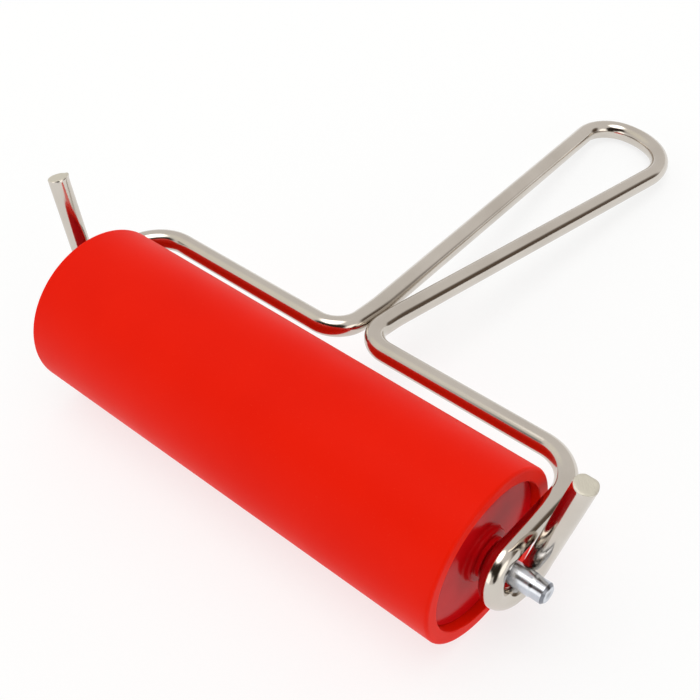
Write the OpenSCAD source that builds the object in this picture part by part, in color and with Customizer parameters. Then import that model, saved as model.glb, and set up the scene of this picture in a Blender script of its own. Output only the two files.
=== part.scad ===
// Rubber brayer: a hand roller for spreading printing ink.
// A red rubber roller turns with its steel axle in the eyes of one bent, plated wire frame.
// X runs along the axle, +Y from the roller to the end of the handle, +Z up.
// The origin is on the table, under the middle of the whole tool. Millimetres.

/* [Roller] */
// Outside diameter of the rubber
roller_d = 51; // [50:0.5:53]
// Length of the rubber
roller_l = 150; // [146:1:150]
// Thickness of the rubber
rubber_t = 4; // [3:0.5:5]
// Radius of the rounded edge at each end of the rubber
rubber_edge_r = 1; // [0.5:0.1:1.5]
// How far the end plugs sit inside the ends of the rubber
recess = 2.6; // [2:0.1:4]

/* [Core and end plugs] */
// Wall of the tube that the rubber is bonded to
tube_wall = 2; // [1.5:0.1:3]
// Thickness of the plug's face, which covers the end of the tube
hub_face_t = 2; // [1.5:0.1:3]
// How far the plug reaches into the tube
hub_depth = 14; // [10:1:20]
// Wall of the plug's skirt and thickness of its ribs
hub_wall = 1.8; // [1.2:0.1:2.5]
// Ribs inside each plug
hub_ribs = 6; // [4:1:8]
// Diameter of the boss round the axle
boss_d = 15.6; // [14:0.2:17]
// Diameter of the raised ring on the boss
collar_d = 11.6; // [10:0.2:13]
// Height of the raised ring on the boss
collar_h = 1.2; // [0.8:0.1:1.6]
// Space between the boss and the frame's eye, which the washer fills
washer_space = 1; // [0.9:0.1:1.2]
// Thickness of the washer
washer_t = 0.7; // [0.5:0.1:0.8]
// Diameter of the washer
washer_d = 10; // [9:0.2:11]

/* [Axle] */
// Diameter of the axle
axle_d = 6.4; // [6.3:0.1:6.4]
// Diameter of each free end, turned down a little to lead into the eye
axle_end_d = 6; // [5.6:0.1:6]
// Length of the axle
axle_l = 185; // [182:1:190]
// Length of each turned end, with its chamfer
axle_end_l = 4.2; // [3:0.2:5]
// Chamfer on the tips
axle_chamfer = 0.8; // [0.4:0.1:1.2]

/* [Frame] */
// Diameter of the wire
wire_d = 6.4; // [6:0.1:6.4]
// Gap between the two wires where they run side by side
neck_gap = 0.1; // [0.1:0.1:1]
// Bend radius of the wire's centre line at the neck
neck_r = 9; // [8:0.1:9.4]
// Length of the neck where the wires run side by side
neck_l = 16; // [15:0.2:20]
// Bend radius where the wires part
part_r = 60; // [40:5:80]
// Distance of the shoulder bars behind the axle
bar_y = 33.5; // [33.5:0.5:36]
// Height of the shoulder bars above the axle
bar_z = 4.7; // [3:0.1:6]
// How much farther back the right bar lies than the frame's middle, and the left bar nearer
bar_skew = 1.2; // [0:0.1:1.2]
// Distance of the right arm from the middle of the roller
arm_x = 79.8; // [79.8:0.1:80.2]
// How much farther out the left arm is, which is the side play of the roller
side_play = 2.4; // [0:0.1:3]
// Bend radius at the shoulders
shoulder_r = 13; // [10:0.5:14]

/* [Handle end] */
// Half the width of the handle at its end
handle_half_w = 18; // [17.6:0.1:20]
// Distance from the shoulder bars to the handle's end corners
handle_l = 159.4; // [140:0.2:170]
// How far the end bows out past its corners
end_bow = 4.1; // [4.1:0.1:5]
// Bend radius of the left end corner
left_corner_r = 11.4; // [9:0.2:11.4]
// Bend radius of the right end corner
right_corner_r = 20; // [14:0.5:20]
// Bend radius of the bowed end
end_bow_r = 22; // [18:1:22]
// How far the end is out of square: the left corner is this much farther out
end_skew = 4; // [3.7:0.1:4]

/* [Eyes and rest legs] */
// Bend radius of the eye round the axle
eye_r = 6.8; // [6.6:0.1:6.8]
// Distance of the eye's front from the axle
eye_front = 7.2; // [7.2:0.1:7.8]
// Distance of the eye's back from the axle
eye_back = 6; // [6:0.1:6.4]
// Distance of the eye's bottom from the axle
eye_bottom = 7.6; // [7.6:0.1:7.8]
// Height of the arm's line above the axle where it meets the eye
eye_top = 7.1; // [7.1:0.1:7.4]
// How far the bottom front of the eye steps out, away from the roller
eye_out_front = 1.6; // [1.6:0.1:2]
// How far the bottom back of the eye steps out
eye_out_back = 3.3; // [3.3:0.1:3.5]
// How far out the tip of each leg is, from the middle of the roller
leg_tip_x = 93.4; // [93.4:0.2:98]
// How far behind the axle the tip of each leg is
leg_tip_y = 10.8; // [9:0.2:12]
// How high above the axle the tip of each leg is
leg_tip_z = 33.8; // [30:0.2:36]

/* [Hidden] */
round_fn = 96;
wire_fn = 48;
arc_steps = 6;
fit_gap = 0.1;
bend_lap = 0.25;
bend_swell = 0.02;

// Roller
roller_r = roller_d / 2;
half_l = roller_l / 2;
tube_or = roller_r - rubber_t;
tube_ir = tube_or - tube_wall;
hub_x = half_l - recess;
tube_half_l = hub_x - hub_face_t;
boss_h = arm_x - wire_d / 2 - washer_space - hub_x;

// Handle: it slopes down from the shoulder bars until its end rests on the table
wire_r = wire_d / 2;
neck_x = wire_r + neck_gap / 2;
left_rise = atan((end_bow - end_skew) / handle_half_w);
right_fall = atan((end_bow + end_skew) / handle_half_w);
end_round = cos((right_fall - left_rise) / 2) / cos((right_fall + left_rise) / 2);
end_reach = handle_l + end_bow - end_bow_r * (end_round - 1);
handle_drop = asin((bar_z + roller_r - wire_r) / end_reach);

// Where the roller's middle lies in the tool's frame
front_y = -roller_r;
back_y = bar_y + end_reach * cos(handle_drop) + wire_r;
axle_at = [side_play / 2, -(front_y + back_y) / 2, roller_r];

// A point of the handle: x across it and s along it from the shoulder bars
function on_handle(x, s) =
    [x, bar_y + s * cos(handle_drop), bar_z - s * sin(handle_drop)];

// A place on the arm, the eye or the leg of one side, x from the middle of the roller
function on_arm(side, x, y, z) = [side * x - (side < 0 ? side_play : 0), y, z];

// One half of the frame, from the handle's end corner to the tip of the leg. Each entry is
// a corner of the wire's centre line and its bend radius. side is 1 for right, -1 for left.
function frame_half(side) = [
    [on_handle(side * handle_half_w, handle_l - side * end_skew),
     side < 0 ? left_corner_r : right_corner_r],
    [on_handle(side * neck_x, neck_l), part_r],
    [[side * neck_x, bar_y + side * bar_skew, bar_z], neck_r],
    [on_arm(side, arm_x, bar_y + side * bar_skew, bar_z), shoulder_r],
    [on_arm(side, arm_x, -eye_front, eye_top), eye_r],
    [on_arm(side, arm_x + eye_out_front, -eye_front, -eye_bottom), eye_r],
    [on_arm(side, arm_x + eye_out_back, eye_back, -eye_bottom), eye_r],
    [on_arm(side, leg_tip_x, leg_tip_y, leg_tip_z), 0],
];

function reversed(list) = [for (i = [len(list) - 1:-1:0]) list[i]];

// The whole wire, from the left leg's tip round the handle to the right leg's tip
frame_path = concat(
    reversed(frame_half(-1)),
    [[on_handle(0, handle_l + end_bow), end_bow_r]],
    frame_half(1)
);

// Wire geometry: a bend is tangent to the straights on both sides of its corner
function unit(v) = v / norm(v);
function heading(path, i) = unit(path[i + 1][0] - path[i][0]);
function turn(path, i) = acos(heading(path, i - 1) * heading(path, i));
function is_tip(path, i) = i == 0 || i == len(path) - 1;
function setback(path, i) = is_tip(path, i) ? 0 : path[i][1] * tan(turn(path, i) / 2);

// How far from corner i a straight ends: it runs a little way into the bend, which is a
// hair thicker, so that the two join as one solid
function straight_end(path, i) = is_tip(path, i) ? 0 : setback(path, i) - bend_lap;

// A round rod from a to b
module rod(a, b, d) {
    v = b - a;
    translate(a)
        rotate([0, acos(v[2] / norm(v)), atan2(v[1], v[0])])
            cylinder(d = d, h = norm(v), $fn = wire_fn);
}

// The bend at corner i of a path
module bend(path, i, d) {
    u = heading(path, i - 1);
    w = heading(path, i);
    r = path[i][1];
    angle = turn(path, i);
    centre = path[i][0] + unit(w - u) * r / cos(angle / 2);
    out = unit(path[i][0] - u * setback(path, i) - centre);
    n = cross(out, u);
    multmatrix([
        [out[0], u[0], n[0], centre[0]],
        [out[1], u[1], n[1], centre[1]],
        [out[2], u[2], n[2], centre[2]],
        [0, 0, 0, 1]
    ])
        rotate_extrude(angle = angle, $fn = round_fn)
            translate([r, 0]) circle(d = d, $fn = wire_fn);
}

module bent_wire(path, d) {
    for (i = [0:len(path) - 2])
        rod(path[i][0] + heading(path, i) * straight_end(path, i),
            path[i + 1][0] - heading(path, i) * straight_end(path, i + 1), d);
    for (i = [1:len(path) - 2])
        bend(path, i, d + bend_swell);
}

// Turns a profile of [distance from the axle, place along X] round the axle
module turned(profile) {
    rotate([0, 90, 0])
        rotate_extrude($fn = round_fn) polygon(profile);
}

// A rounded corner for a profile: an arc about a centre, from one angle to another
function arc(centre, r, from, to) =
    [for (k = [0:arc_steps])
        let (a = from + (to - from) * k / arc_steps)
            centre + r * [cos(a), sin(a)]];

module wire_frame() {
    color("silver") translate(axle_at) bent_wire(frame_path, wire_d);
}

module axle() {
    body_x = axle_l / 2 - axle_end_l;
    tip_x = axle_l / 2 - axle_chamfer;
    color("lightsteelblue") translate(axle_at)
        rotate([0, 90, 0]) {
            cylinder(d = axle_d, h = 2 * body_x, center = true, $fn = round_fn);
            cylinder(d = axle_end_d, h = 2 * tip_x, center = true, $fn = round_fn);
            for (side = [0, 180])
                rotate([side, 0, 0]) translate([0, 0, tip_x])
                    cylinder(d1 = axle_end_d, d2 = axle_end_d - 2 * axle_chamfer,
                             h = axle_chamfer, $fn = round_fn);
        }
}

module rubber_sleeve() {
    edge = rubber_edge_r;
    lip = edge / 2;
    color("red") translate(axle_at) turned(concat(
        [[tube_or, -half_l + lip]],
        arc([tube_or + lip, -half_l + lip], lip, 180, 270),
        arc([roller_r - edge, -half_l + edge], edge, 270, 360),
        arc([roller_r - edge, half_l - edge], edge, 0, 90),
        arc([tube_or + lip, half_l - lip], lip, 90, 180)
    ));
}

module core_tube() {
    color("dimgray") translate(axle_at) turned([
        [tube_ir, -tube_half_l],
        [tube_or, -tube_half_l],
        [tube_or, tube_half_l],
        [tube_ir, tube_half_l]
    ]);
}

// One end plug, with its face towards +X
module hub() {
    face_r = tube_or - fit_gap;
    boss_r = boss_d / 2;
    collar_r = collar_d / 2;
    bore_r = axle_d / 2;
    inner_x = tube_half_l - hub_depth;
    shoulder_x = hub_x + boss_h - collar_h;
    top_x = hub_x + boss_h;
    edge = 0.5;
    turned(concat(
        [[bore_r, inner_x], [boss_r, inner_x], [boss_r, tube_half_l],
         [tube_ir - hub_wall, tube_half_l], [tube_ir - hub_wall, inner_x],
         [tube_ir, inner_x], [tube_ir, tube_half_l], [face_r, tube_half_l]],
        arc([face_r - edge, hub_x - edge], edge, 0, 90),
        arc([boss_r + edge, hub_x + edge], edge, 270, 180),
        arc([boss_r - edge, shoulder_x - edge], edge, 0, 90),
        [[collar_r, shoulder_x]],
        arc([collar_r - edge / 2, top_x - edge / 2], edge / 2, 0, 90),
        [[bore_r, top_x]]
    ));
    rib_in = boss_r - hub_wall / 2;
    rib_out = tube_ir - hub_wall / 2;
    for (k = [0:hub_ribs - 1])
        rotate([k * 360 / hub_ribs, 0, 0])
            translate([inner_x + edge, rib_in, -hub_wall / 2])
                cube([hub_depth + hub_face_t / 2 - edge, rib_out - rib_in, hub_wall]);
}

module hub_right() {
    color("firebrick") translate(axle_at) hub();
}

module hub_left() {
    color("firebrick") translate(axle_at) rotate([0, 0, 180]) hub();
}

// One thrust washer, on the +X side
module washer() {
    inner_r = axle_d / 2 + fit_gap / 2;
    start_x = hub_x + boss_h + (washer_space - washer_t) / 2;
    turned([
        [inner_r, start_x],
        [washer_d / 2, start_x],
        [washer_d / 2, start_x + washer_t],
        [inner_r, start_x + washer_t]
    ]);
}

module washer_right() {
    color("whitesmoke") translate(axle_at) washer();
}

module washer_left() {
    color("whitesmoke") translate(axle_at) rotate([0, 0, 180]) washer();
}

wire_frame();
axle();
rubber_sleeve();
core_tube();
hub_left();
hub_right();
washer_left();
washer_right();
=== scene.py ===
"""A rubber brayer: a red rubber roller that turns in a frame of bent, plated wire.

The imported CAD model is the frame. Each visible node is replaced by a finer mesh in the same
place, and the core tube keeps its CAD mesh. Every surface gets a procedural material.
X runs along the axle, +Y from the roller to the end of the handle, +Z up. Sizes are in metres.
"""

import math
from collections import namedtuple

import bpy
from mathutils import Matrix, Vector, noise


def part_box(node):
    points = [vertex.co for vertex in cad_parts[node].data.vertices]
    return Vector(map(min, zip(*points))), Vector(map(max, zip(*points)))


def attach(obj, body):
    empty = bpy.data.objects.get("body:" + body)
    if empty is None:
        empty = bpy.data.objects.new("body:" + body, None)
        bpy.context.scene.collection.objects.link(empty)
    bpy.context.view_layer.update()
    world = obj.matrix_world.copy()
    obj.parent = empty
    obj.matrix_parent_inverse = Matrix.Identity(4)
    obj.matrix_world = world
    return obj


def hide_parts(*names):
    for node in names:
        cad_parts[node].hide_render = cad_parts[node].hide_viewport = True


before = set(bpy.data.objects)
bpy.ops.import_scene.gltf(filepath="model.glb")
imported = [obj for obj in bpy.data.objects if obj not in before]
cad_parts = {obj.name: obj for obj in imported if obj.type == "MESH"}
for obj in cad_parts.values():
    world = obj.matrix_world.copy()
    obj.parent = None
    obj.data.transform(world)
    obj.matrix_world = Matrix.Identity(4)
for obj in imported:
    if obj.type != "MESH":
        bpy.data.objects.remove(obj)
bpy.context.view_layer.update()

MM = 0.001
SIDES = {"left": -1, "right": 1}


# ---- Sizes and places, from the frame ----

rubber_low, rubber_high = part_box("rubber_sleeve")
axle_low, axle_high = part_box("axle")
tube_low, tube_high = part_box("core_tube")
hub_low, hub_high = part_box("hub_right")
washer_low, washer_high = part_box("washer_right")
_, wire_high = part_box("wire_frame")

MIDDLE = (rubber_low + rubber_high) / 2
ROLLER_R = (rubber_high.z - rubber_low.z) / 2
ROLLER_HALF = (rubber_high.x - rubber_low.x) / 2
TUBE_R = (tube_high.z - tube_low.z) / 2
AXLE_R = (axle_high.z - axle_low.z) / 2
AXLE_HALF = (axle_high.x - axle_low.x) / 2
HUB_R = (hub_high.z - hub_low.z) / 2
HUB_INNER = hub_low.x - MIDDLE.x
HUB_TOP = hub_high.x - MIDDLE.x
WASHER_R = (washer_high.z - washer_low.z) / 2
WASHER_IN = washer_low.x - MIDDLE.x
WASHER_OUT = washer_high.x - MIDDLE.x

# What a box can't say, in metres: the same values as the CAD's
RUBBER_EDGE = 1.0 * MM
RECESS = 2.6 * MM
BOSS_R = 7.8 * MM
COLLAR_R = 5.8 * MM
COLLAR_H = 1.2 * MM
AXLE_END_R = 3.0 * MM
AXLE_END_L = 4.2 * MM
AXLE_CHAMFER = 0.8 * MM
HUB_FACE = ROLLER_HALF - RECESS

# The wire, measured from the roller's middle
WIRE_R = 3.2 * MM
NECK_X = 3.25 * MM
NECK_BEND = 9.0 * MM
NECK_L = 16.0 * MM
PART_BEND = 60.0 * MM
BAR_Y = 33.5 * MM
BAR_Z = 4.7 * MM
BAR_SKEW = 1.2 * MM
ARM_X = 79.8 * MM
SIDE_PLAY = 2.4 * MM
SHOULDER_BEND = 13.0 * MM
END_HALF_W = 18.0 * MM
HANDLE_L = 159.4 * MM
END_BOW = 4.1 * MM
END_SKEW = 4.0 * MM
END_BENDS = {"left": 11.4 * MM, "right": 20.0 * MM}
BOW_BEND = 22.0 * MM
EYE_BEND = 6.8 * MM
EYE_FRONT = 7.2 * MM
EYE_BACK = 6.0 * MM
EYE_BOTTOM = 7.6 * MM
EYE_TOP = 7.1 * MM
EYE_OUT_FRONT = 1.6 * MM
EYE_OUT_BACK = 3.3 * MM
LEG_TIP = Vector((93.4, 10.8, 33.8)) * MM

# The handle slopes down until its end rests on the table
END_S = wire_high.y - WIRE_R - MIDDLE.y - BAR_Y
HANDLE_DROP = math.atan2(BAR_Z + ROLLER_R - WIRE_R, END_S)


# ---- Shapes ----

def unit(v):
    return v / v.length


def rounded(corners, step=math.radians(4)):
    """The line through corners, each a (point, bend radius) pair, with an arc at each bend.
    Gives (point, bend) pairs, where bend is the arc's curvature, and 0 on the straights."""
    line = [(corners[0][0], 0.0)]
    for (before, _), (corner, radius), (after, _) in zip(corners, corners[1:], corners[2:]):
        into, away = unit(corner - before), unit(after - corner)
        turn = into.angle(away)
        if radius == 0 or turn < 1e-6:
            line.append((corner, 0.0))
            continue
        start = corner - into * radius * math.tan(turn / 2)
        inward = unit(away - into * into.dot(away))
        centre = start + inward * radius
        count = max(3, math.ceil(turn / step))
        for k in range(count + 1):
            a = turn * k / count
            line.append((centre - inward * radius * math.cos(a) + into * radius * math.sin(a),
                         1 / radius))
    line.append((corners[-1][0], 0.0))
    return line


def with_steps(line, longest):
    """The same line with extra points, so that no step is longer than longest."""
    finer = [line[0]]
    for (a, bend_a), (b, bend_b) in zip(line, line[1:]):
        count = max(1, math.ceil((b - a).length / longest))
        for k in range(1, count + 1):
            t = k / count
            finer.append((a.lerp(b, t), bend_a + (bend_b - bend_a) * t))
    return finer


def new_piece(name, vertices, faces, material):
    """A smooth-shaded mesh object, not yet riding on a body."""
    mesh = bpy.data.meshes.new(name)
    mesh.from_pydata(vertices, [], faces)
    mesh.validate()
    mesh.shade_smooth()
    mesh.materials.append(material)
    piece = bpy.data.objects.new(name, mesh)
    bpy.context.scene.collection.objects.link(piece)
    return piece


def add_values(piece, name, kind, values):
    """Stores one value per vertex, a number or a vector, for the materials to read."""
    attribute = piece.data.attributes.new(name, kind, "POINT")
    if kind == "FLOAT":
        attribute.data.foreach_set("value", values)
    else:
        attribute.data.foreach_set("vector", [x for v in values for x in v])


def ring_faces(rings, count, closed):
    """Quads between consecutive rings of count vertices; closed joins the last to the first."""
    faces = []
    for i in range(rings if closed else rings - 1):
        here, there = i * count, (i + 1) % rings * count
        for k in range(count):
            n = (k + 1) % count
            faces.append((here + k, here + n, there + n, there + k))
    return faces


def lathe(name, profile, material, side=1, segments=192):
    """Turns a profile of (distance along the axle, radius) points round the axle's line.
    A profile that starts and ends on the line makes a rod, and any other one a closed ring."""
    solid_rod = profile[0][1] == 0
    vertices, along = [], []
    for x, r in profile:
        for k in range(segments):
            a = math.tau * k / segments
            vertices.append((MIDDLE.x + side * x, MIDDLE.y + r * math.cos(a),
                             MIDDLE.z + r * math.sin(a)))
            along.append((x, r, 0.0))
    faces = ring_faces(len(profile), segments, not solid_rod)
    if side > 0:
        faces = [face[::-1] for face in faces]
    piece = new_piece(name, vertices, faces, material)
    add_values(piece, "turned", "FLOAT_VECTOR", along)
    merge = piece.modifiers.new("merge", "WELD")
    merge.merge_threshold = 0.001 * MM
    smooth = piece.modifiers.new("smooth", "WEIGHTED_NORMAL")
    smooth.keep_sharp = True
    return piece


def profile_of(corners, step=math.radians(12)):
    """A lathe's profile from (along, radius, edge radius) corners, each rounded by its edge."""
    flat = [(Vector((x, r, 0)), edge) for x, r, edge in corners]
    return [(p.x, p.y) for p, _ in rounded(flat, step)]


# ---- The wire frame ----

# The wire's skin: points in a ring, and the longest step between rings
WIRE_SIDES = 40
WIRE_STEP = 1.5 * MM
# How much a bend flattens the wire, as a share of WIRE_R: more as it is tighter, to a limit
FLAT_BY_BEND = 0.2 * MM
MOST_FLAT = 0.035
# How much that widens it the other way, as a share of the flattening
WIDER_BY_FLAT = 0.3
# The sheared ends: how far in each ring is, in millimetres, and how wide, as a share of WIRE_R
CUT_RINGS = [(0.45, 1.0), (0.22, 0.992), (0.08, 0.965), (0.0, 0.915),
             (0.0, 0.7), (0.015, 0.45), (0.02, 0.2)]
# How far in the cut face lies, how far from it the metal is torn, and how high, in millimetres
CUT_INSET = 0.3
CUT_DEPTH = 0.1
TORN_HEIGHT = 0.05
# How fine the tearing is, across the face and from one end of the wire to the other
TORN_ACROSS = 3.1
TORN_ALONG = 27.9
# The length that each cut end's rings take up
CUT_ROOM = 1.2 * MM
# Where shearing left each end's rim wider or narrower: a direction and a share of WIRE_R
NICKS = {"left": [(Vector((0.2, 0.9, 0)), 0.11)],
         "right": [(Vector((0.56, 0.84, -0.1)), 0.07), (Vector((-0.17, 0.98, 0)), -0.13)]}
# How far round the rim each reaches, in radians, and how many millimetres a share of 1 rises
NICK_SPREAD = 0.33
BURR_RISE = 2.5

Ring = namedtuple("Ring", "place bend way first second inside along")


def on_handle(x, s):
    """A point of the sloping handle: x across it, s along it from the shoulder bars."""
    return Vector((x, BAR_Y + s * math.cos(HANDLE_DROP), BAR_Z - s * math.sin(HANDLE_DROP)))


def on_arm(side, x, y, z):
    """A point beside the roller. The left arm stands farther out by the roller's side play."""
    return Vector((side * x - (SIDE_PLAY if side < 0 else 0), y, z))


def frame_half(side_name):
    """One half of the wire: corners and bend radii from the handle's end to the leg's tip."""
    side = SIDES[side_name]
    bar_y = BAR_Y + side * BAR_SKEW
    return [
        (on_handle(side * END_HALF_W, HANDLE_L - side * END_SKEW), END_BENDS[side_name]),
        (on_handle(side * NECK_X, NECK_L), PART_BEND),
        (Vector((side * NECK_X, bar_y, BAR_Z)), NECK_BEND),
        (on_arm(side, ARM_X, bar_y, BAR_Z), SHOULDER_BEND),
        (on_arm(side, ARM_X, -EYE_FRONT, EYE_TOP), EYE_BEND),
        (on_arm(side, ARM_X + EYE_OUT_FRONT, -EYE_FRONT, -EYE_BOTTOM), EYE_BEND),
        (on_arm(side, ARM_X + EYE_OUT_BACK, EYE_BACK, -EYE_BOTTOM), EYE_BEND),
        (on_arm(side, *LEG_TIP), 0),
    ]


def wire_line():
    """The wire's centre line, from the left leg's tip round the handle to the right one's."""
    corners = frame_half("left")[::-1]
    corners.append((on_handle(0, HANDLE_L + END_BOW), BOW_BEND))
    corners += frame_half("right")
    line = rounded([(MIDDLE + p, r) for p, r in corners])
    return with_steps(line, WIRE_STEP)


def wire_radius(a, bend):
    """The wire's radius at angle a from a bend's inside, where it is a little flattened."""
    flat = min(MOST_FLAT, FLAT_BY_BEND * bend)
    return WIRE_R * (1 - flat * math.cos(a) ** 2 + WIDER_BY_FLAT * flat * math.sin(a) ** 2)


def wire_rings():
    """A ring at each point of the wire's line: where it is, how far along, which way the wire
    goes there, and two directions across it. inside is the angle, from first, that a bend faces."""
    line = wire_line()
    points = [p for p, _ in line]
    last = len(points) - 1
    ways = [unit(points[min(i + 1, last)] - points[max(i - 1, 0)]) for i in range(last + 1)]
    first = unit(ways[0].orthogonal())
    along = 0.0
    rings = []
    for i, (place, bend) in enumerate(line):
        if i:
            along += (place - points[i - 1]).length
            first = unit(first - ways[i] * first.dot(ways[i]))
        second = ways[i].cross(first)
        curl = ways[min(i + 1, last)] - ways[max(i - 1, 0)]
        inside = math.atan2(curl.dot(second), curl.dot(first)) if curl.length > 1e-5 else 0.0
        rings.append(Ring(place, bend, ways[i], first.copy(), second, inside, along))
    return rings


def round_ring(ring):
    """Each angle of a ring, with the direction across the wire that it points in."""
    angles = [math.tau * k / WIRE_SIDES for k in range(WIRE_SIDES)]
    return [(a, ring.first * math.cos(a) + ring.second * math.sin(a)) for a in angles]


def side_ring(ring):
    """A ring of the wire's side, as (point, place in the drawn wire, 0 for uncut) each."""
    made = []
    for a, across in round_ring(ring):
        r = wire_radius(a - ring.inside, ring.bend)
        drawn = (math.cos(a) * r, math.sin(a) * r, ring.along)
        made.append((ring.place + across * r, drawn, 0.0))
    return made


def cut_rings(ring, outward, nicks):
    """Rings from the wire's side over the rounded rim to the middle of its cut face."""
    made = []
    for depth, share in CUT_RINGS:
        points = []
        for a, across in round_ring(ring):
            wider = sum(amount * math.exp(-(across.angle(toward) / NICK_SPREAD) ** 2)
                        for toward, amount in nicks)
            r = WIRE_R * share * (1 + wider * share ** 6)
            spot = Vector((math.cos(a) * share * TORN_ACROSS, math.sin(a) * share * TORN_ACROSS,
                           ring.along * TORN_ALONG))
            torn = TORN_HEIGHT * noise.noise(spot) * share
            lift = torn - BURR_RISE * max(wider, 0) * share ** 4
            point = ring.place - outward * (depth + lift + CUT_INSET) * MM + across * r
            drawn = (math.cos(a) * r, math.sin(a) * r, ring.along)
            points.append((point, drawn, 1.0 if depth < CUT_DEPTH else 0.0))
        made.append(points)
    return made


def make_wire(material):
    """One swept tube along the wire's line, closed by its two cut ends."""
    rings = wire_rings()
    length = rings[-1].along
    skin = cut_rings(rings[0], -rings[0].way, NICKS["left"])[::-1]
    skin += [side_ring(ring) for ring in rings if CUT_ROOM < ring.along < length - CUT_ROOM]
    skin += cut_rings(rings[-1], rings[-1].way, NICKS["right"])
    points = [point for ring in skin for point in ring]

    faces = ring_faces(len(skin), WIRE_SIDES, False)
    faces.append(tuple(range(WIRE_SIDES))[::-1])
    faces.append(tuple(range(len(points) - WIRE_SIDES, len(points))))
    piece = new_piece("bent_wire", [place for place, _, _ in points], faces,
                      material)
    add_values(piece, "drawn", "FLOAT_VECTOR", [drawn for _, drawn, _ in points])
    add_values(piece, "cut", "FLOAT", [cut for _, _, cut in points])
    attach(piece, "frame")
    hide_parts("wire_frame")


# ---- Materials ----

def new_material(name):
    made = bpy.data.materials.new(name)
    made.use_nodes = True
    made.node_tree.nodes.clear()
    return made, made.node_tree


def add_node(tree, kind, inputs=None, **settings):
    """A shader node. inputs gives each socket, by name or number, a value or an output."""
    made = tree.nodes.new("ShaderNode" + kind)
    for key, value in settings.items():
        setattr(made, key, value)
    for key, value in (inputs or {}).items():
        if isinstance(value, bpy.types.NodeSocket):
            tree.links.new(value, made.inputs[key])
        else:
            made.inputs[key].default_value = value
    return made


def stored(tree, name):
    return add_node(tree, "Attribute", attribute_name=name)


def scaled(tree, vector, scale):
    return add_node(tree, "Mapping", {"Vector": vector, "Scale": scale},
                    vector_type="POINT").outputs["Vector"]


def noise_of(tree, vector, scale, detail=3.0, roughness=0.5):
    made = add_node(tree, "TexNoise", {"Vector": vector, "Scale": scale, "Detail": detail,
                                       "Roughness": roughness})
    return made.outputs["Fac"]


def ranged(tree, value, low, high, to_low=0.0, to_high=1.0):
    """Value's stretch from low to high, moved to another and held at its ends."""
    made = add_node(tree, "MapRange", {"Value": value, "From Min": low, "From Max": high,
                                       "To Min": to_low, "To Max": to_high})
    return made.outputs["Result"]


def blended(tree, share, a, b):
    """Colour a where share is 0 and b where it is 1."""
    made = add_node(tree, "Mix", {0: share, 6: a, 7: b}, data_type="RGBA")
    return made.outputs[2]


def bumped(tree, height, distance, strength=1.0, under=None):
    """A bump of that height in metres, on top of another bump's normal."""
    inputs = {"Height": height, "Distance": distance, "Strength": strength}
    if under is not None:
        inputs["Normal"] = under
    return add_node(tree, "Bump", inputs).outputs["Normal"]


def calculated(tree, operation, a, b=0.0):
    return add_node(tree, "Math", {0: a, 1: b}, operation=operation).outputs[0]


def finish_material(tree, inputs):
    shader = add_node(tree, "BsdfPrincipled", inputs)
    add_node(tree, "OutputMaterial", {"Surface": shader.outputs["BSDF"]})


def plated_wire():
    """Nickel plate over drawn wire: a warm mirror with fine lengthwise lines, faint waves,
    small dull specks, and matt, torn metal on the sheared ends."""
    made, tree = new_material("plated_wire")
    drawn = stored(tree, "drawn").outputs["Vector"]
    cut = stored(tree, "cut").outputs["Fac"]
    place = add_node(tree, "TexCoord").outputs["Object"]
    cloud = noise_of(tree, place, 55.0, 3.0)
    lines = noise_of(tree, scaled(tree, drawn, (2600, 2600, 26)), 1.0, 2.0)
    waves = noise_of(tree, scaled(tree, drawn, (160, 160, 60)), 1.0, 1.0)
    specks = ranged(tree, noise_of(tree, place, 1700.0, 1.0), 0.70, 0.78)
    tint = blended(tree, ranged(tree, cloud, 0.3, 0.7),
                   (0.66, 0.615, 0.56, 1), (0.58, 0.535, 0.48, 1))
    tint = blended(tree, cut, tint, (0.70, 0.67, 0.58, 1))
    dull = ranged(tree, cloud, 0.25, 0.8, 0.10, 0.16)
    dull = calculated(tree, "ADD", dull, calculated(tree, "MULTIPLY", specks, 0.12))
    dull = calculated(tree, "ADD", dull, calculated(tree, "MULTIPLY", cut, 0.38))
    torn = noise_of(tree, scaled(tree, drawn, (900, 3500, 900)), 1.0, 3.0)
    normal = bumped(tree, waves, 0.035 * MM)
    normal = bumped(tree, lines, 0.0012 * MM, under=normal)
    normal = bumped(tree, calculated(tree, "MULTIPLY", torn, cut), 0.06 * MM, under=normal)
    finish_material(tree, {"Base Color": tint, "Metallic": 1.0, "Roughness": dull,
                           "Normal": normal})
    return made


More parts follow.
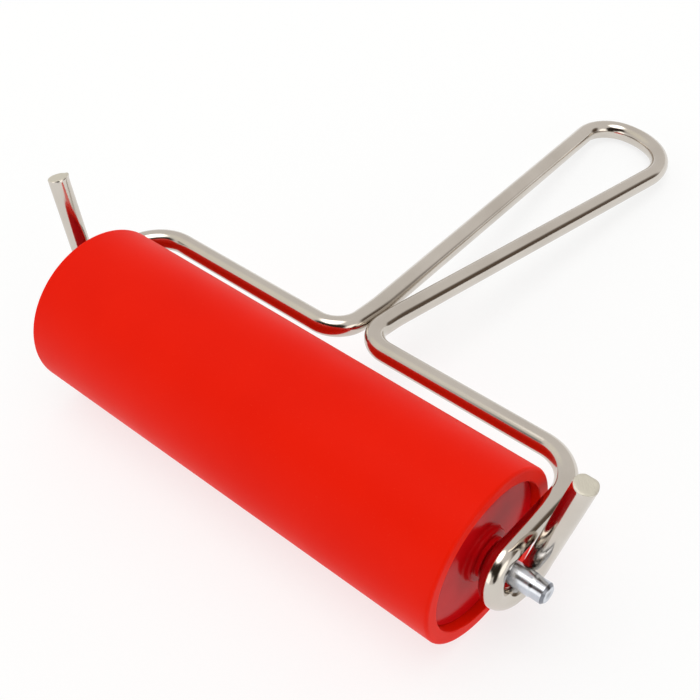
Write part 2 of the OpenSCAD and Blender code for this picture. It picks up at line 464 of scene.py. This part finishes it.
def zinc_axle():
    """Bright zinc on a turned steel rod: cool, with fine rings and a little dullness, drawn
    out round the rod. The chamfers are painted darker, a painted dark reflection ring at each end."""
    made, tree = new_material("zinc_axle")
    turned = stored(tree, "turned").outputs["Vector"]
    place = add_node(tree, "TexCoord").outputs["Object"]
    cloud = noise_of(tree, place, 160.0, 3.0)
    rings = noise_of(tree, scaled(tree, turned, (5200, 5200, 1)), 1.0, 2.0)
    tint = blended(tree, ranged(tree, cloud, 0.3, 0.7),
                   (0.66, 0.69, 0.74, 1), (0.52, 0.55, 0.61, 1))
    along = add_node(tree, "SeparateXYZ", {"Vector": turned}).outputs["X"]
    reach = calculated(tree, "ABSOLUTE", along)
    # Painted reflection: a darker metal colour on each chamfer stands in for the dark ring that its
    # edge reflects
    painted_dark_chamfer = ranged(tree, reach, AXLE_HALF - AXLE_CHAMFER - 0.1 * MM, AXLE_HALF - AXLE_CHAMFER)
    painted_dark_chamfer = calculated(tree, "MULTIPLY", painted_dark_chamfer, ranged(tree, reach, AXLE_HALF - 0.05 * MM,
                                                     AXLE_HALF - 0.15 * MM))
    tint = blended(tree, painted_dark_chamfer, tint, (0.23, 0.24, 0.27, 1))
    dull = ranged(tree, cloud, 0.3, 0.75, 0.20, 0.28)
    normal = bumped(tree, rings, 0.004 * MM)
    normal = bumped(tree, noise_of(tree, place, 420.0, 1.0), 0.012 * MM, under=normal)
    around = add_node(tree, "Tangent", direction_type="RADIAL", axis="X").outputs["Tangent"]
    finish_material(tree, {"Base Color": tint, "Metallic": 1.0, "Roughness": dull,
                           "Normal": normal, "Tangent": around, "Anisotropic": 0.7,
                           "Anisotropic Rotation": 0.25})
    return made


def red_rubber():
    """Soft, ground rubber: satin red with fine grinding rings, cloudy shine and pale dust."""
    made, tree = new_material("red_rubber")
    turned = stored(tree, "turned").outputs["Vector"]
    place = add_node(tree, "TexCoord").outputs["Object"]
    cloud = noise_of(tree, place, 34.0, 4.0)
    grain = noise_of(tree, place, 3800.0, 2.0)
    rings = noise_of(tree, scaled(tree, turned, (2400, 2400, 1)), 1.0, 3.0)
    dust = ranged(tree, noise_of(tree, place, 2300.0, 0.0), 0.76, 0.80, 0.0, 0.25)
    tint = blended(tree, ranged(tree, cloud, 0.3, 0.7),
                   (0.86, 0.0120, 0.0012, 1), (0.82, 0.0100, 0.0010, 1))
    tint = blended(tree, dust, tint, (0.86, 0.045, 0.02, 1))
    dull = ranged(tree, cloud, 0.3, 0.7, 0.40, 0.50)
    normal = bumped(tree, rings, 0.004 * MM)
    normal = bumped(tree, grain, 0.008 * MM, under=normal)
    finish_material(tree, {"Base Color": tint, "Roughness": dull, "Normal": normal,
                           "Specular IOR Level": 0.05})
    return made


def red_plug():
    """Glossy moulded plastic, a deeper red, with faint flow marks and concentric tool marks."""
    made, tree = new_material("red_plug")
    turned = stored(tree, "turned").outputs["Vector"]
    place = add_node(tree, "TexCoord").outputs["Object"]
    cloud = noise_of(tree, place, 70.0, 3.0)
    rings = noise_of(tree, scaled(tree, turned, (1500, 1500, 1)), 1.0, 2.0)
    scuffs = ranged(tree, noise_of(tree, scaled(tree, place, (300, 300, 2200)), 1.0, 2.0),
                    0.62, 0.75)
    tint = blended(tree, ranged(tree, cloud, 0.3, 0.7),
                   (0.62, 0.0040, 0.0070, 1), (0.52, 0.0030, 0.0055, 1))
    dull = calculated(tree, "ADD", ranged(tree, cloud, 0.3, 0.7, 0.11, 0.17),
                      calculated(tree, "MULTIPLY", scuffs, 0.12))
    normal = bumped(tree, cloud, 0.05 * MM)
    normal = bumped(tree, rings, 0.006 * MM, under=normal)
    finish_material(tree, {"Base Color": tint, "Roughness": dull, "Normal": normal,
                           "Specular IOR Level": 0.05})
    return made


def red_washer():
    """Deep red slippery plastic, a little dull from rubbing."""
    made, tree = new_material("red_washer")
    place = add_node(tree, "TexCoord").outputs["Object"]
    rubbed = noise_of(tree, place, 900.0, 3.0)
    tint = blended(tree, rubbed, (0.30, 0.004, 0.006, 1), (0.22, 0.004, 0.006, 1))
    normal = bumped(tree, rubbed, 0.01 * MM)
    dull = ranged(tree, rubbed, 0.3, 0.7, 0.28, 0.42)
    finish_material(tree, {"Base Color": tint, "Roughness": dull, "Normal": normal})
    return made


def dark_core():
    """Dull, dark red moulded tube, with a fine grain."""
    made, tree = new_material("dark_core")
    place = add_node(tree, "TexCoord").outputs["Object"]
    grain = noise_of(tree, place, 900.0, 4.0)
    tint = blended(tree, grain, (0.33, 0.028, 0.028, 1), (0.37, 0.034, 0.032, 1))
    dull = ranged(tree, grain, 0.3, 0.7, 0.5, 0.7)
    finish_material(tree, {"Base Color": tint, "Roughness": dull,
                           "Normal": bumped(tree, grain, 0.03 * MM)})
    return made


# ---- The roller's pieces ----

def make_rubber(material):
    """The sleeve, with round outer edges and a small cut edge round its bore."""
    bore = TUBE_R + 0.02 * MM
    lip = 0.35 * MM
    half = ROLLER_HALF
    corners = [
        (0, bore, 0), (half, bore, lip), (half, ROLLER_R, RUBBER_EDGE),
        (-half, ROLLER_R, RUBBER_EDGE), (-half, bore, lip), (0, bore, 0),
    ]
    piece = lathe("rubber_skin", profile_of(corners)[:-1], material, segments=256)
    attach(piece, "roller")
    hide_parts("rubber_sleeve")


def make_plug(side_name, material):
    """An end plug: a flat face with a soft rim, a stepped boss and its skirt."""
    bore = AXLE_R + 0.01 * MM
    fine = 0.15 * MM
    collar_edge = 0.3 * MM
    boss_edge = 0.9 * MM
    boss_foot = 0.7 * MM
    rim_edge = 0.5 * MM
    wall = 2.0 * MM
    skirt_r = HUB_R - wall
    back = HUB_FACE - wall
    corners = [
        (HUB_INNER, bore, 0), (HUB_TOP, bore, fine), (HUB_TOP, COLLAR_R, collar_edge),
        (HUB_TOP - COLLAR_H, COLLAR_R, fine), (HUB_TOP - COLLAR_H, BOSS_R, boss_edge),
        (HUB_FACE, BOSS_R, boss_foot), (HUB_FACE, HUB_R, rim_edge),
        (back, HUB_R, fine), (back, skirt_r, fine), (HUB_INNER, skirt_r, fine),
        (HUB_INNER, bore, 0),
    ]
    piece = lathe("plug_" + side_name, profile_of(corners)[:-1], material,
                  SIDES[side_name])
    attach(piece, "roller")
    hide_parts("hub_" + side_name)


def make_washer(side_name, material):
    """A thin washer with softened edges."""
    bore = AXLE_R + 0.05 * MM
    soft = 0.2 * MM
    middle = (WASHER_IN + WASHER_OUT) / 2
    corners = [
        (middle, bore, 0), (WASHER_OUT, bore, soft), (WASHER_OUT, WASHER_R, soft),
        (WASHER_IN, WASHER_R, soft), (WASHER_IN, bore, soft), (middle, bore, 0),
    ]
    piece = lathe("thrust_washer_" + side_name, profile_of(corners)[:-1], material,
                  SIDES[side_name], 96)
    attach(piece, "roller")
    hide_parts("washer_" + side_name)


def axle_end(side):
    """One end of the axle's profile, from its side to its axis: a tapered shoulder, the turned
    end, its chamfer and a shallow dimple."""
    shoulder = AXLE_HALF - AXLE_END_L
    taper = 0.4 * MM
    blend = 1.0 * MM
    fine = 0.12 * MM
    dimple_r = 0.5 * MM
    dimple_edge = 0.3 * MM
    bottom = AXLE_HALF - 0.12 * MM
    return [
        (side * (shoulder - taper), AXLE_R, blend),
        (side * (shoulder + taper), AXLE_END_R, blend),
        (side * (AXLE_HALF - AXLE_CHAMFER), AXLE_END_R, fine),
        (side * AXLE_HALF, AXLE_END_R - AXLE_CHAMFER, fine),
        (side * bottom, dimple_r, dimple_edge),
        (side * bottom, 0, 0),
    ]


def make_axle(material):
    """The rod, with turned ends, chamfers and a faint turning dimple on each end face."""
    corners = axle_end(-1)[::-1] + axle_end(1)
    piece = lathe("turned_axle", profile_of(corners), material, segments=128)
    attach(piece, "roller")
    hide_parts("axle")


def finish_core(material):
    """The core tube keeps its CAD mesh, because it is all out of sight."""
    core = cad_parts["core_tube"]
    core.data.materials.clear()
    core.data.materials.append(material)


# ---- Studio ----

FLOOR_HALF = 6.0


def make_floor():
    """A plain pale floor, far wider than the view, that glows a little like a light table."""
    made, tree = new_material("pale_floor")
    place = add_node(tree, "TexCoord").outputs["Object"]
    fine = noise_of(tree, place, 900.0, 2.0)
    finish_material(tree, {"Base Color": (0.26, 0.27, 0.275, 1), "Roughness": 0.8,
                           "Specular IOR Level": 0.1,
                           "Normal": bumped(tree, fine, 0.02 * MM),
                           "Emission Color": (1, 1, 1, 1), "Emission Strength": 0.74})
    mesh = bpy.data.meshes.new("floor")
    corners = [(-FLOOR_HALF, -FLOOR_HALF, 0), (FLOOR_HALF, -FLOOR_HALF, 0),
               (FLOOR_HALF, FLOOR_HALF, 0), (-FLOOR_HALF, FLOOR_HALF, 0)]
    mesh.from_pydata(corners, [], [(0, 1, 2, 3)])
    mesh.materials.append(made)
    floor = bpy.data.objects.new("floor", mesh)
    bpy.context.scene.collection.objects.link(floor)


# What the plating mirrors: an even pale tent, two kinds of lamp, and darker gaps and seams
LAMP = (4.0, 3.9, 3.75, 1)
ROOM = (0.035, 0.026, 0.018, 1)
SEAM = (0.15, 0.11, 0.08, 1)
WARM = (1.16, 1.13, 1.02, 1)
SIDE_LAMP = (2.2, 2.15, 2.05, 1)
TENT = (0.98, 0.95, 0.92, 1)
# What shows past the floor's edge
FAR = (1.25, 1.25, 1.25, 1)
SKY_STRENGTH = 0.80
# Patches of the tent, later ones over earlier ones. Each is (degrees from the front toward the
# right, degrees above the horizon, radius of its even part, radius where it ends, colour).
PATCHES = [
    (15, 84, 15, 24, LAMP),
    (-72, 46, 6, 30, WARM),
    (129, 7, 8, 22, SEAM),
    (130, 20, 5, 19, SEAM),
    (-8, 46, 10, 22, ROOM),
    (22, 42, 16, 24, ROOM),
    (48, 38, 16, 24, ROOM),
    (45, 14, 12, 17, ROOM),
    (-8, 12, 16, 21, SIDE_LAMP),
    (84, 14, 14, 20, SIDE_LAMP),
]


def compass(across, above):
    """The direction that many degrees from the front toward the right, and above the horizon."""
    across, above = math.radians(across), math.radians(above)
    return Vector((math.sin(across) * math.cos(above), -math.cos(across) * math.cos(above),
                   math.sin(above)))


def make_sky():
    """An even pale tent all round, with lamps, dark gaps and a dark room behind the camera.
    Seen directly, past the floor's edge, it is one plain pale colour."""
    world = bpy.data.worlds.new("studio")
    bpy.context.scene.world = world
    world.use_nodes = True
    tree = world.node_tree
    tree.nodes.clear()
    way = add_node(tree, "TexCoord").outputs["Generated"]
    colour = TENT
    for across, above, even, end, patch in PATCHES:
        facing = add_node(tree, "VectorMath", {0: way, 1: compass(across, above)},
                          operation="DOT_PRODUCT").outputs["Value"]
        share = ranged(tree, facing, math.cos(math.radians(end)), math.cos(math.radians(even)))
        colour = blended(tree, share, colour, patch)
    seen = add_node(tree, "LightPath").outputs["Is Camera Ray"]
    colour = blended(tree, seen, colour, FAR)
    light = add_node(tree, "Background", {"Color": colour, "Strength": SKY_STRENGTH})
    add_node(tree, "OutputWorld", {"Surface": light.outputs["Background"]})


CAMERA_AZIMUTH = math.radians(45.52)
CAMERA_ELEVATION = math.radians(46.25)
CAMERA_ROLL = math.radians(-6.07)
CAMERA_LENS = 61.71
CAMERA_PLACE = Vector((0.17354, -0.13783, 0.25396))


def make_camera():
    """The camera, placed from the roller's middle, with no shift and no depth of field."""
    data = bpy.data.cameras.new("camera")
    data.lens = CAMERA_LENS
    data.clip_start = 0.01
    camera = bpy.data.objects.new("camera", data)
    back = Vector((math.sin(CAMERA_AZIMUTH) * math.cos(CAMERA_ELEVATION),
                   -math.cos(CAMERA_AZIMUTH) * math.cos(CAMERA_ELEVATION),
                   math.sin(CAMERA_ELEVATION)))
    level = unit((-back).cross(Vector((0, 0, 1))))
    upright = level.cross(-back)
    right = level * math.cos(CAMERA_ROLL) + upright * math.sin(CAMERA_ROLL)
    up = upright * math.cos(CAMERA_ROLL) - level * math.sin(CAMERA_ROLL)
    turned = Matrix((right, up, back)).transposed().to_4x4()
    camera.matrix_world = Matrix.Translation(MIDDLE + CAMERA_PLACE) @ turned
    bpy.context.scene.collection.objects.link(camera)
    bpy.context.scene.camera = camera


# ---- Everything ----

make_camera()
make_floor()
make_sky()

make_wire(plated_wire())
make_axle(zinc_axle())
make_rubber(red_rubber())
plug_material = red_plug()
washer_material = red_washer()
for name in SIDES:
    make_plug(name, plug_material)
    make_washer(name, washer_material)
finish_core(dark_core())

bpy.context.scene.view_settings.view_transform = "Standard"
